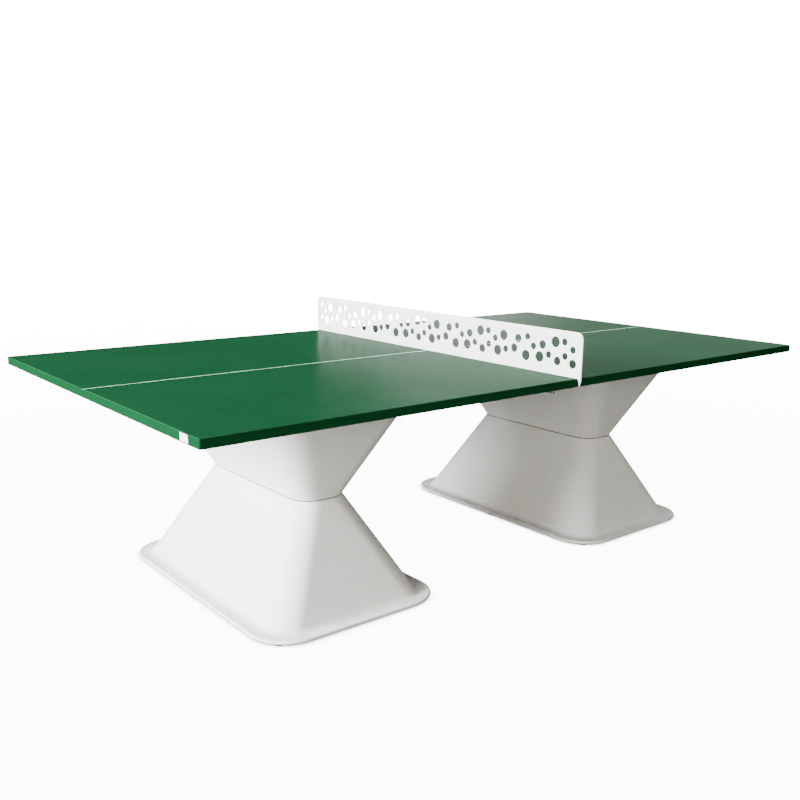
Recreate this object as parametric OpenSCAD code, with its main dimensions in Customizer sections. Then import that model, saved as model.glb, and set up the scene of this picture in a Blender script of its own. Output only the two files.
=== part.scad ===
// Table tennis table: two laminate half tops joined under a perforated steel net,
// each half carried by a waisted pedestal of two hollow plastic mouldings.
// Millimetres. Origin on the floor under the middle of the table, X along its length, Z up.

/* [Playing surface] */
// Length of the playing surface
table_l = 2740; // [2200:10:3400]
// Width of the playing surface
table_w = 1525; // [1250:5:1900]
// Height of the playing surface above the floor
table_h = 760; // [600:5:950]
// Thickness of the half tops
top_t = 28; // [24:1:40]
// Radius of the four outer corners, seen from above
corner_r = 4; // [2:1:30]
// Gap between the two half tops at the seam
seam_gap = 0.6; // [0.2:0.1:2]
// Width of the inlaid centre line
line_w = 5; // [2:0.5:8]
// Depth of the centre line groove
line_d = 0.8; // [0.4:0.1:2]

/* [Label] */
// Length of the blank label on the end edge
label_l = 44; // [20:1:90]
// Height of the blank label
label_h = 22; // [10:1:24]
// Thickness of the label and depth of its recess
label_t = 0.4; // [0.2:0.1:1]
// Distance from the corner of the top to the middle of the label
label_in = 84; // [60:1:200]

/* [Net] */
// Height of the net plate above the playing surface
net_h = 152.5; // [120:0.5:200]
// Thickness of the net plate
net_t = 4; // [3:0.5:8]
// How far the net plate stands out past each side of the top
net_over = 14; // [10:1:30]
// Radius of the two upper corners of the net plate
net_r = 24; // [5:1:60]
// How far the pointed ends hang down beside the top
tail_drop = 27; // [15:1:60]
// Distance from the side of the top to the tip of a pointed end
tail_tip = 6; // [3:0.5:9]
// Gap between a pointed end and the side of the top
tail_gap = 0.5; // [0.2:0.1:2]
// Radius of the small holes
hole_s = 12; // [6:0.5:13]
// Radius of the middle holes
hole_m = 15; // [8:0.5:16]
// Radius of the large holes
hole_l = 18.5; // [10:0.5:19]
// Length of the hole pattern before it repeats
motif_l = 364; // [360:1:420]
// Smallest distance from the end of the net plate to the middle of a hole
hole_margin = 38; // [30:1:80]
// Smallest strip of metal between the hole pattern and the holes near the ends
hole_web = 5; // [3:1:10]

/* [Net fixing] */
// Width of the tabs that pass down through the seam
tab_w = 60; // [50:1:90]
// Length of the tabs below the half tops
tab_l = 44; // [36:1:70]
// Distance from the side of the top to the outer tabs
tab_in = 130; // [80:1:250]
// Clearance round a tab in its notch
tab_clear = 0.5; // [0.2:0.1:2]
// Width of both legs of the angle brackets
angle_w = 40; // [36:1:60]
// Thickness of the angle brackets
angle_t = 4; // [3:0.5:6]
// Height of the net bolts below the half tops
net_bolt_in = 22; // [18:1:26]
// Length of the splice plates across the seam
splice_l = 300; // [160:5:500]
// Width of the splice plates
splice_w = 60; // [40:1:90]
// Thickness of the splice plates
splice_t = 6; // [3:0.5:10]
// Radius of the dowels in the seam
dowel_r = 5; // [3:0.5:7]
// Length of the dowels
dowel_l = 80; // [40:1:140]

/* [Pedestals] */
// Distance from the middle of the table to the middle of each pedestal
ped_x = 708; // [600:5:900]
// Length of the upper rim, along the table
rim_l = 570; // [440:5:760]
// Width of the upper rim, across the table
rim_w = 1010; // [880:5:1200]
// Corner radius of the upper rim
rim_r = 100; // [60:1:180]
// Length of the waist, along the table
waist_l = 196; // [190:1:260]
// Width of the waist, across the table
waist_w = 650; // [600:5:760]
// Corner radius of the waist
waist_r = 78; // [60:1:90]
// Height of the waist above the floor
waist_z = 367; // [250:5:450]
// Length of the foot of the lower moulding, inside its flange
foot_l = 590; // [440:5:760]
// Width of the foot of the lower moulding, inside its flange
foot_w = 985; // [880:5:1200]
// Corner radius of the foot of the lower moulding
foot_r = 88; // [60:1:180]
// Wall thickness of the mouldings
wall = 6; // [4:0.5:8]

/* [Flanges] */
// How far the floor flange stands out past the foot of the moulding
flange_out = 52; // [40:1:80]
// Thickness of the floor flange
flange_t = 12; // [8:1:20]
// Thickness of the two flanges at the waist
waist_t = 10; // [6:0.5:14]
// Length of the hand opening through the waist
access_l = 100; // [60:1:104]
// Width of the hand opening through the waist
access_w = 520; // [400:5:540]
// Thickness of the waist gasket
gasket_t = 3; // [1:0.5:6]
// How far the gasket is set back from the outside
gasket_in = 3; // [1:0.5:6]
// Width of the inward flange under the half top
rim_in = 48; // [40:1:80]
// Thickness of the inward flange under the half top
rim_t = 8; // [5:0.5:12]
// Thickness of the rubber feet under the floor flange
pad_t = 5; // [3:0.5:12]
// Radius of the rubber feet
pad_r = 18; // [12:0.5:20]

/* [Fasteners] */
// Radius of the waist bolts
bolt_r = 5; // [4:0.5:6]
// Distance between the waist bolts along the flange
bolt_pitch = 150; // [100:1:160]
// Width of the clamp bars that the waist bolts screw into
bar_w = 30; // [24:1:34]
// Thickness of the clamp bars
bar_t = 6; // [4:0.5:10]
// Radius of the screws that hold the rim flange
screw_r = 4; // [3:0.5:5]
// Distance between the rim screws on the long sides
screw_pitch = 300; // [150:5:330]
// Distance between the rim screws on the short sides
screw_span = 200; // [100:5:240]
// Length of the threaded inserts in the half tops
insert_l = 16; // [10:0.5:18]
// Wall of the threaded inserts
insert_wall = 1.6; // [1:0.1:3]
// Radius of the small screws for brackets and splice plates
small_r = 2.5; // [2:0.5:3]
// Depth of the small screws in the half tops
small_d = 16; // [8:0.5:18]
// Clearance round bolts and screws
clear = 0.5; // [0.3:0.1:1]

/* [Hidden] */

$fn = 48;
// Overlap that makes a cut pass right through
cut = 1;
// Thickness of the slices that a tapered moulding is stretched between
slice = 0.2;
// Play between a thread or peg and its hole
snug = 0.05;

under = table_h - top_t;
half_l = table_l / 2;
left = -1;
right = 1;

// One repeat of the hole pattern: along the net, height above the playing surface, radius
motif = [
    [0, 115, hole_s], [5, 49, hole_l], [44, 104, hole_m], [62, 68, hole_m],
    [104, 59, hole_s], [116, 107, hole_l], [144, 50, hole_l], [158, 92, hole_s],
    [191, 67, hole_s], [195, 115, hole_s], [224, 47, hole_m], [235, 111, hole_l],
    [264, 64, hole_s], [293, 95, hole_m], [305, 52, hole_l], [335, 85, hole_s]];
motif_start = -530;
// Holes that fill the space left at the ends: which end, distance in from it, height, radius
end_holes = [[left, 39, 45, hole_m], [right, 34, 118, hole_s], [right, 35, 62, hole_s]];
motif_reach = ceil((table_w / 2 + net_over) / motif_l) + 1;

// Places along the seam: four tabs, and a splice plate midway between each pair
tab_pitch = (table_w - 2 * tab_in) / 3;
tab_ys = [for (i = [0:3]) (i - 1.5) * tab_pitch];
splice_ys = [for (i = [0:2]) (i - 1) * tab_pitch];
dowel_ys = [for (y = splice_ys, s = [-1, 1]) y + s * tab_pitch / 4];
dowel_z = table_h - top_t / 2;
bracket_screw_x = net_t / 2 + angle_w * 0.62;
bracket_screw_dy = tab_w / 2 - 12;
splice_screw_xs = [splice_l / 2 - 20, 45];
splice_screw_dy = splice_w / 2 - 15;
small_head_r = small_r * 1.9;
small_head_h = small_r * 1.2;

// Net bolts: through both angle brackets and the tab between them
net_bolt_r = 4;
net_bolt_z = under - net_bolt_in;
net_grip = net_t / 2 + angle_t;
net_washer_t = 1.6;
net_head_h = 5.3;
net_nut_h = 6.5;

// Pedestal levels and sections, each [length, width, corner radius]
gasket_low = waist_z - gasket_t / 2;
gasket_high = waist_z + gasket_t / 2;
flange_top = pad_t + flange_t;
rim_size = [rim_l, rim_w, rim_r];
waist_size = [waist_l, waist_w, waist_r];
foot_size = [foot_l, foot_w, foot_r];
flange_size = grow(foot_size, flange_out);
access_size = [access_l, access_w, access_l / 2 - 1];
// A sloping wall measured level is a little thicker than square to its face
level_wall = wall * 1.12;

// Waist bolts: heads and washers below, clamp bars above
bolt_x = (access_l / 2 + waist_l / 2 - level_wall) / 2;
bolt_ys = [for (i = [0:3]) (i - 1.5) * bolt_pitch];
washer_t = 2;
washer_r = bolt_r * 2;
head_r = bolt_r * 1.6;
head_h = bolt_r * 1.3;
bolt_spare = 4;
bar_over = 22;

// Rim screws: two rows along the long sides and a pair on each short side
screw_in = level_wall + rim_in * 0.5;
rim_spots = concat(
    [for (x = [-1, 1], i = [-1:1]) [x * (rim_l / 2 - screw_in), i * screw_pitch]],
    [for (y = [-1, 1], x = [-1, 1]) [x * screw_span / 2, y * (rim_w / 2 - screw_in)]]);
rim_washer_t = 1.6;
rim_head_h = screw_r * 1.3;
insert_r = screw_r + insert_wall;

// Feet: one on each corner arc of the flange and one halfway along each long side
pad_in = pad_r + 6;
pad_stem_r = 5;
pad_stem_l = flange_t * 0.75;
arc_x = flange_size[0] / 2 - flange_size[2] + (flange_size[2] - pad_in) * cos(45);
arc_y = flange_size[1] / 2 - flange_size[2] + (flange_size[2] - pad_in) * sin(45);
pad_spots = [[-arc_x, -arc_y], [arc_x, -arc_y], [arc_x, arc_y], [-arc_x, arc_y],
    [-flange_size[0] / 2 + pad_in, 0], [flange_size[0] / 2 - pad_in, 0]];

// A section grown outwards all round by d
function grow(s, d) = [s[0] + 2 * d, s[1] + 2 * d, s[2] + d];

// The section of a moulding at height z, between section a at za and section b at zb
function between(a, za, b, zb, z) = a + (b - a) * (z - za) / (zb - za);

// Rectangle with round corners, from a section [length, width, corner radius]
module rounded(s) {
    square([s[0] - 2 * s[2], s[1]], center = true);
    square([s[0], s[1] - 2 * s[2]], center = true);
    for (x = [-1, 1], y = [-1, 1])
        translate([x * (s[0] / 2 - s[2]), y * (s[1] / 2 - s[2])]) circle(r = s[2]);
}

// Flat plate of a section, from height z and t thick
module plate(s, z, t) {
    translate([0, 0, z]) linear_extrude(t) rounded(s);
}

// Solid that changes evenly from section a at za to section b at zb
module taper(a, za, b, zb) {
    hull() {
        plate(a, za, slice);
        plate(b, zb - slice, slice);
    }
}

// Upright round bar of radius r from height z, t tall
module peg(r, z, t) {
    translate([0, 0, z]) cylinder(r = r, h = t);
}

// Upright ring or washer
module ring(r_out, r_in, z, t) {
    difference() {
        peg(r_out, z, t);
        peg(r_in, z - cut, t + 2 * cut);
    }
}

// Puts its children at a list of [x, y] places
module at_spots(spots) {
    for (p = spots) translate([p[0], p[1], 0]) children();
}

// Puts its children under the left or the right half
module pedestal(side) {
    translate([side * ped_x, 0, 0]) children();
}

waist_spots = [for (x = [-1, 1], y = bolt_ys) [x * bolt_x, y]];
bracket_screw_spots = [for (x = [-1, 1], y = tab_ys, s = [-1, 1])
    [x * bracket_screw_x, y + s * bracket_screw_dy]];
splice_screw_spots = [for (x = [-1, 1], a = splice_screw_xs, y = splice_ys, s = [-1, 1])
    [x * a, y + s * splice_screw_dy]];

// ---------------------------------------------------------------- half tops

// Outline of one half, with its two outer corners rounded
module half_outline(side) {
    inner = seam_gap / 2;
    mirror([side < 0 ? 1 : 0, 0]) {
        translate([inner, -table_w / 2]) square([half_l - corner_r - inner, table_w]);
        translate([inner, corner_r - table_w / 2]) square([half_l - inner, table_w - 2 * corner_r]);
        for (y = [-1, 1])
            translate([half_l - corner_r, y * (table_w / 2 - corner_r)]) circle(r = corner_r);
    }
}

module half_top(side) {
    notch = net_t / 2 + tab_clear;
    difference() {
        translate([0, 0, under]) linear_extrude(top_t) half_outline(side);
        for (y = tab_ys)
            translate([-notch, y - tab_w / 2 - tab_clear, under - cut])
                cube([2 * notch, tab_w + 2 * tab_clear, top_t + 2 * cut]);
        translate([-half_l - cut, -line_w / 2, table_h - line_d])
            cube([table_l + 2 * cut, line_w, line_d + cut]);
        for (y = dowel_ys)
            translate([-dowel_l / 2 - cut, y, dowel_z])
                rotate([0, 90, 0]) cylinder(r = dowel_r + snug, h = dowel_l + 2 * cut);
        for (p = concat(bracket_screw_spots, splice_screw_spots))
            translate([p[0], p[1], 0]) peg(small_r + snug, under - cut, small_d + 2 * cut);
        pedestal(side) at_spots(rim_spots) peg(insert_r + snug, under - cut, insert_l + 2 * cut);
        if (side < 0) label_block(cut);
    }
}

module half_top_left() {
    color("seagreen") half_top(left);
}

module half_top_right() {
    color("seagreen") half_top(right);
}

// Strip of the centre line on one half, from the outer edge to the net
module centre_line(side) {
    near_net = net_t / 2 + 1;
    color("honeydew")
        translate([side < 0 ? -half_l : near_net, -line_w / 2, table_h - line_d])
            cube([half_l - near_net, line_w, line_d]);
}

// Block of the label's size at the left end, reaching out past the end by extra
module label_block(extra) {
    translate([-half_l - extra, label_in - label_l / 2 - table_w / 2, under + (top_t - label_h) / 2])
        cube([label_t + extra, label_l, label_h]);
}

module blank_label() {
    color("white") label_block(0);
}

// Dowels that line up the two halves
module dowels() {
    color("burlywood")
        for (y = dowel_ys)
            translate([-dowel_l / 2, y, dowel_z]) rotate([0, 90, 0]) cylinder(r = dowel_r, h = dowel_l);
}

// ---------------------------------------------------------------- net

// Points on an arc of radius r about c, from angle a to angle b in n steps
function arc(c, r, a, b, n) = [for (i = [0:n]) c + r * [cos(a + (b - a) * i / n), sin(a + (b - a) * i / n)]];

// Right end of the plate's outline, from the bottom edge round the pointed end and up to the top edge.
// The inner side of the point is a hollow curve that ends straight down at the tip.
net_reach = table_w / 2 + net_over;
hollow_rise = tail_tip - tail_gap;
hollow_r = (hollow_rise * hollow_rise + tail_drop * tail_drop) / (2 * hollow_rise);
point_w = 2;
right_end = concat(
    arc([table_w / 2 + tail_tip - hollow_r, -tail_drop], hollow_r, asin(tail_drop / hollow_r), 0, 8),
    [[table_w / 2 + tail_tip + point_w, -tail_drop], [net_reach, -tail_drop * 0.3]],
    arc([net_reach - net_r, net_h - net_r], net_r, 0, 90, 12));
left_end = [for (i = [len(right_end) - 1:-1:0]) [-right_end[i][0], right_end[i][1]]];
tab_outline = [for (y = tab_ys, p = [[-1, 0], [-1, -1], [1, -1], [1, 0]])
    [y + p[0] * tab_w / 2, p[1] * (top_t + tab_l)]];

// Middles and radii: the end holes, and every hole of the pattern that keeps its distance from the
// ends and from the end holes
end_spots = [for (e = end_holes) [e[0] * (net_reach - e[1]), e[2], e[3]]];
motif_spots = [for (k = [-motif_reach:motif_reach], m = motif)
    [motif_start + k * motif_l + m[0], m[1], m[2]]];
function web_to_ends(h) = min([for (e = end_spots) norm([h[0] - e[0], h[1] - e[1]]) - h[2] - e[2]]);
net_holes = concat(end_spots, [for (h = motif_spots)
    if (abs(h[0]) < net_reach - hole_margin && web_to_ends(h) >= hole_web) h]);

module net_plate() {
    color("white")
        translate([-net_t / 2, 0, table_h]) rotate([90, 0, 90]) linear_extrude(net_t) difference() {
            polygon(concat(tab_outline, right_end, left_end));
            for (h = net_holes) translate([h[0], h[1]]) circle(r = h[2]);
            for (y = tab_ys) translate([y, -top_t - net_bolt_in]) circle(r = net_bolt_r + clear);
        }
}

// Angle bracket beside a tab: one leg on the tab, the other under the half top
module net_bracket(side, y) {
    color("gainsboro")
        difference() {
            translate([0, y - tab_w / 2, under]) mirror([side < 0 ? 1 : 0, 0, 0]) {
                translate([net_t / 2, 0, -angle_w]) cube([angle_t, tab_w, angle_w]);
                translate([net_t / 2, 0, -angle_t]) cube([angle_w, tab_w, angle_t]);
            }
            translate([side * net_t, y, net_bolt_z]) rotate([0, 90, 0])
                cylinder(r = net_bolt_r + clear, h = 6 * angle_t, center = true);
            for (s = [-1, 1]) translate([side * bracket_screw_x, y + s * bracket_screw_dy, 0])
                peg(small_r + clear, under - 2 * angle_t, 3 * angle_t);
        }
}

// Puts its children at the four net bolts, turned so that Z points along the bolt
module at_net_bolts() {
    for (y = tab_ys) translate([0, y, net_bolt_z]) rotate([0, 90, 0]) children();
}

module net_bolts() {
    start = -net_grip - net_washer_t;
    tail = net_grip + net_washer_t + net_nut_h + 3;
    color("silver") at_net_bolts() {
        peg(net_bolt_r, start, tail - start);
        translate([0, 0, start - net_head_h]) cylinder(r = net_bolt_r * 1.8, h = net_head_h, $fn = 6);
    }
}

module net_nuts() {
    color("silver") at_net_bolts() translate([0, 0, net_grip + net_washer_t]) difference() {
        cylinder(r = net_bolt_r * 1.8, h = net_nut_h, $fn = 6);
        peg(net_bolt_r + snug, -cut, net_nut_h + 2 * cut);
    }
}

module net_washers() {
    color("silver") at_net_bolts() {
        ring(net_bolt_r * 2, net_bolt_r + clear, net_grip, net_washer_t);
        ring(net_bolt_r * 2, net_bolt_r + clear, -net_grip - net_washer_t, net_washer_t);
    }
}

// Small round-headed screw driven up to height z through a part t thick
module small_screw(t) {
    peg(small_r, under - t, t + small_d);
    peg(small_head_r, under - t - small_head_h, small_head_h);
}

module bracket_screws() {
    color("silver") at_spots(bracket_screw_spots) small_screw(angle_t);
}

module splice_plate(y) {
    color("gainsboro") difference() {
        translate([-splice_l / 2, y - splice_w / 2, under - splice_t]) cube([splice_l, splice_w, splice_t]);
        at_spots(splice_screw_spots) peg(small_r + clear, under - 2 * splice_t, 3 * splice_t);
    }
}

module splice_screws() {
    color("silver") at_spots(splice_screw_spots) small_screw(splice_t);
}

// ---------------------------------------------------------------- pedestals

// Lower moulding: floor flange, hollow sloping body, and a flange at the waist
module lower_shell() {
    inside_low = grow(foot_size, -level_wall);
    inside_high = grow(waist_size, -level_wall);
    color("whitesmoke") difference() {
        union() {
            plate(flange_size, pad_t, flange_t);
            taper(foot_size, flange_top - slice, waist_size, gasket_low);
        }
        taper(inside_low, pad_t - cut, inside_high, gasket_low - waist_t);
        plate(access_size, gasket_low - waist_t - cut, waist_t + 2 * cut);
        at_spots(waist_spots) peg(bolt_r + clear, gasket_low - waist_t - cut, waist_t + 2 * cut);
        at_spots(pad_spots) peg(pad_stem_r + snug, pad_t - cut, pad_stem_l + cut);
    }
}

// Upper moulding: a flange at the waist, hollow sloping body, and an inward flange under the top
module upper_shell() {
    inside_low = grow(waist_size, -level_wall);
    inside_high = grow(rim_size, -level_wall);
    color("whitesmoke") difference() {
        taper(waist_size, gasket_high, rim_size, under);
        taper(inside_low, gasket_high + waist_t, inside_high, under - rim_t);
        plate(grow(inside_high, -rim_in), under - rim_t - cut, rim_t + 2 * cut);
        plate(access_size, gasket_high - cut, waist_t + 2 * cut);
        at_spots(waist_spots) peg(bolt_r + clear, gasket_high - cut, waist_t + 2 * cut);
        at_spots(rim_spots) peg(screw_r + clear, under - rim_t - cut, rim_t + 2 * cut);
    }
}

// Gasket between the two mouldings, seen from outside as a dark line
module waist_gasket() {
    color("dimgray") difference() {
        plate(grow(waist_size, -gasket_in), gasket_low, gasket_t);
        plate(access_size, gasket_low - cut, gasket_t + 2 * cut);
        at_spots(waist_spots) peg(bolt_r + clear, gasket_low - cut, gasket_t + 2 * cut);
    }
}

// Tapped steel bar on the upper flange; the waist bolts screw into it
module clamp_bar(side) {
    bar_l = 3 * bolt_pitch + 2 * bar_over;
    color("silver") difference() {
        translate([side * bolt_x - bar_w / 2, -bar_l / 2, gasket_high + waist_t]) cube([bar_w, bar_l, bar_t]);
        at_spots(waist_spots) peg(bolt_r + snug, gasket_high, waist_t + bar_t + cut);
    }
}

module waist_bolts() {
    grip = gasket_low - waist_t - washer_t;
    color("silver") at_spots(waist_spots) {
        peg(bolt_r, grip, gasket_high + waist_t + bar_t + bolt_spare - grip);
        translate([0, 0, grip - head_h]) cylinder(r = head_r, h = head_h, $fn = 6);
    }
}

module waist_washers() {
    color("silver") at_spots(waist_spots)
        ring(washer_r, bolt_r + clear, gasket_low - waist_t - washer_t, washer_t);
}

module rim_screws() {
    grip = under - rim_t - rim_washer_t;
    color("silver") at_spots(rim_spots) {
        peg(screw_r, grip, rim_t + rim_washer_t + insert_l - cut);
        peg(screw_r * 1.7, grip - rim_head_h, rim_head_h);
    }
}

module rim_washers() {
    color("silver") at_spots(rim_spots)
        ring(screw_r * 2.2, screw_r + clear, under - rim_t - rim_washer_t, rim_washer_t);
}

module rim_inserts() {
    color("darkgoldenrod") at_spots(rim_spots) ring(insert_r, screw_r + snug, under, insert_l);
}

// Rubber foot with a stem pressed up into the floor flange
module foot(i) {
    color("dimgray") translate([pad_spots[i][0], pad_spots[i][1], 0]) {
        peg(pad_r, 0, pad_t);
        peg(pad_stem_r, 0, pad_t + pad_stem_l - snug);
    }
}

// ---------------------------------------------------------------- assembly

half_top_left();
half_top_right();
centre_line(left);  // centre_line_left
centre_line(right);  // centre_line_right
net_plate();
net_bracket(left, tab_ys[0]);  // net_bracket_1
net_bracket(left, tab_ys[1]);  // net_bracket_2
net_bracket(left, tab_ys[2]);  // net_bracket_3
net_bracket(left, tab_ys[3]);  // net_bracket_4
net_bracket(right, tab_ys[0]);  // net_bracket_5
net_bracket(right, tab_ys[1]);  // net_bracket_6
net_bracket(right, tab_ys[2]);  // net_bracket_7
net_bracket(right, tab_ys[3]);  // net_bracket_8
net_bolts();
net_nuts();
net_washers();
bracket_screws();
splice_plate(splice_ys[0]);  // splice_plate_1
splice_plate(splice_ys[1]);  // splice_plate_2
splice_plate(splice_ys[2]);  // splice_plate_3
splice_screws();
dowels();
blank_label();
pedestal(left) lower_shell();  // lower_shell_left
pedestal(left) upper_shell();  // upper_shell_left
pedestal(left) waist_gasket();  // waist_gasket_left
pedestal(left) clamp_bar(left);  // clamp_bar_left_1
pedestal(left) clamp_bar(right);  // clamp_bar_left_2
pedestal(left) waist_bolts();  // waist_bolts_left
pedestal(left) waist_washers();  // waist_washers_left
pedestal(left) rim_screws();  // rim_screws_left
pedestal(left) rim_washers();  // rim_washers_left
pedestal(left) rim_inserts();  // rim_inserts_left
pedestal(left) foot(0);  // foot_left_1
pedestal(left) foot(1);  // foot_left_2
pedestal(left) foot(2);  // foot_left_3
pedestal(left) foot(3);  // foot_left_4
pedestal(left) foot(4);  // foot_left_5
pedestal(left) foot(5);  // foot_left_6
pedestal(right) lower_shell();  // lower_shell_right
pedestal(right) upper_shell();  // upper_shell_right
pedestal(right) waist_gasket();  // waist_gasket_right
pedestal(right) clamp_bar(left);  // clamp_bar_right_1
pedestal(right) clamp_bar(right);  // clamp_bar_right_2
pedestal(right) waist_bolts();  // waist_bolts_right
pedestal(right) waist_washers();  // waist_washers_right
pedestal(right) rim_screws();  // rim_screws_right
pedestal(right) rim_washers();  // rim_washers_right
pedestal(right) rim_inserts();  // rim_inserts_right
pedestal(right) foot(0);  // foot_right_1
pedestal(right) foot(1);  // foot_right_2
pedestal(right) foot(2);  // foot_right_3
pedestal(right) foot(3);  // foot_right_4
pedestal(right) foot(4);  // foot_right_5
pedestal(right) foot(5);  // foot_right_6
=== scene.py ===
# %% [markdown]
# # A table tennis table
# This lesson dresses a full-size table tennis table: a green laminate top in two halves, a white
# perforated steel net, and two waisted pedestals of white moulded plastic. The engineering model is
# loaded first as a fixed frame. It gives every size and place, so nothing here is measured twice.

# %% Load the frame
import math
import bmesh
import bpy
from mathutils import Matrix, Vector


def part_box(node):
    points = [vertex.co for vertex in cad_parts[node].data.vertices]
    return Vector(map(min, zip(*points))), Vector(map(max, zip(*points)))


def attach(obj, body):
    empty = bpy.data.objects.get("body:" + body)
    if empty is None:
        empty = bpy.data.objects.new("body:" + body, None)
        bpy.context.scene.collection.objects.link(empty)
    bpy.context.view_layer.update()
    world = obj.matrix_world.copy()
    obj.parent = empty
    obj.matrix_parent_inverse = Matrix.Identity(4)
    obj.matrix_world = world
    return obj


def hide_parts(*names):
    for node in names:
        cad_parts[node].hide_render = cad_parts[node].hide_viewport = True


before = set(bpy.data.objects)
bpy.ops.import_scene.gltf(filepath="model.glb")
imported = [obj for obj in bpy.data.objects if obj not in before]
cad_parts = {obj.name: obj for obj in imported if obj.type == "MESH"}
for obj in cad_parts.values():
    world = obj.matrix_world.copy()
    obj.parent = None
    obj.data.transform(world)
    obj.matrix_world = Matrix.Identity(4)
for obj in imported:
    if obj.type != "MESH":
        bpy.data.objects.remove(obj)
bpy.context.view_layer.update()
MM = 0.001

# %% [markdown]
# ## Sizes from the frame
# A box gives a node's lowest and highest corner. The tops, pedestals and net all follow from these,
# so a changed table only needs this script to be run again.

# %% Sizes of the main parts
TOP_LOW, TOP_HIGH = Vector(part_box("half_top_left")[0]), Vector(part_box("half_top_right")[1])
NET_LOW, NET_HIGH = (Vector(corner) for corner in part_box("net_plate"))
SEAM = -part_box("half_top_left")[1][0]
SIDES = ("left", "right")
print("top", [round(v, 4) for v in TOP_HIGH - TOP_LOW], "net", [round(v, 4) for v in NET_HIGH - NET_LOW])

# %% [markdown]
# ## Camera
# A product view from the front left corner, a little above the playing surface. The camera is level
# apart from a slight tilt, and its shift is small.

# %% Camera
CAMERA_AT = Vector((-2.311, -2.688, 1.2945))
CAMERA_TURN, CAMERA_TILT, CAMERA_ROLL = (math.radians(a) for a in (39.24, -14.14, 0.70))
FOCAL, SENSOR, SHIFT = 40.68, 36.0, (-0.0056, 0.0475)


def aim_camera():
    forward = Vector((math.sin(CAMERA_TURN) * math.cos(CAMERA_TILT),
                      math.cos(CAMERA_TURN) * math.cos(CAMERA_TILT), math.sin(CAMERA_TILT)))
    level = forward.cross(Vector((0, 0, 1))).normalized()
    upright = level.cross(forward)
    right = math.cos(CAMERA_ROLL) * level + math.sin(CAMERA_ROLL) * upright
    up = math.cos(CAMERA_ROLL) * upright - math.sin(CAMERA_ROLL) * level
    data = bpy.data.cameras.new("camera")
    data.lens, data.sensor_width = FOCAL, SENSOR
    data.shift_x, data.shift_y = SHIFT
    data.clip_end = 100
    camera = bpy.data.objects.new("camera", data)
    turn = Matrix((right, up, -forward)).transposed()
    camera.matrix_world = Matrix.Translation(CAMERA_AT) @ turn.to_4x4()
    bpy.context.scene.collection.objects.link(camera)
    bpy.context.scene.camera = camera
    return camera


print("camera at", tuple(round(v, 3) for v in aim_camera().location))

# %% [markdown]
# ## Studio
# A pale floor, a soft key light from the left, a weak fill and a light overhead. The world is white to
# the camera but dimmer for everything else, as in a studio where the background is lit by itself and
# the glossy top sees mostly dark surroundings.

# %% Studio
BACKDROP, FLOOR_NEAR, FILL_LIGHT = 17.0, 12.0, 0.14
FLOOR_PAINT, CONTACT_SHADOW_REACH = 0.09, 0.05
MIRROR_DARK, MIRROR_BRIGHT, MIRROR_WALL = 0.05, 4.2, 1.1


def area_light(name, at, target, size, power, colour=(1, 1, 1)):
    data = bpy.data.lights.new(name, "AREA")
    data.shape, data.size, data.size_y = "RECTANGLE", size[0], size[1]
    data.energy, data.color = power, colour
    light = bpy.data.objects.new(name, data)
    light.location = at
    light.rotation_euler = (Vector(target) - Vector(at)).to_track_quat("-Z", "Y").to_euler()
    light.visible_glossy = False
    bpy.context.scene.collection.objects.link(light)
    return light


def studio_world():
    world = bpy.data.worlds.new("studio")
    world.use_nodes = True
    tree = world.node_tree
    tree.nodes.clear()

    def background(colour, strength):
        node = tree.nodes.new("ShaderNodeBackground")
        node.inputs["Color"].default_value = (*colour, 1)
        node.inputs["Strength"].default_value = strength
        return node.outputs[0]

    def mixed(factor, first, second):
        node = tree.nodes.new("ShaderNodeMixShader")
        for socket, source in zip(node.inputs, (factor, first, second)):
            tree.links.new(source, socket)
        return node.outputs[0]

    # The glossy top mirrors a dark room, then a bright screen behind the net, then a pale wall.
    place = tree.nodes.new("ShaderNodeTexCoord")
    split = tree.nodes.new("ShaderNodeSeparateXYZ")
    tree.links.new(place.outputs["Generated"], split.inputs[0])

    def step(start, stop):
        node = tree.nodes.new("ShaderNodeMapRange")
        node.interpolation_type = "SMOOTHSTEP"
        node.inputs["From Min"].default_value, node.inputs["From Max"].default_value = start, stop
        tree.links.new(split.outputs["X"], node.inputs["Value"])
        return node.outputs["Result"]

    rays = tree.nodes.new("ShaderNodeLightPath")
    beyond = mixed(step(0.68, 0.77), background((1, 1, 1), MIRROR_BRIGHT), background((1, 1, 1), MIRROR_WALL))
    mirrored = mixed(step(0.58, 0.64), background((0.9, 1, 1), MIRROR_DARK), beyond)
    felt = mixed(rays.outputs["Is Glossy Ray"], background((1, 0.96, 0.86), FILL_LIGHT), mirrored)
    seen = mixed(rays.outputs["Is Camera Ray"], felt, background((1, 1, 1), BACKDROP))
    out = tree.nodes.new("ShaderNodeOutputWorld")
    tree.links.new(seen, out.inputs[0])
    bpy.context.scene.world = world


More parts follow.
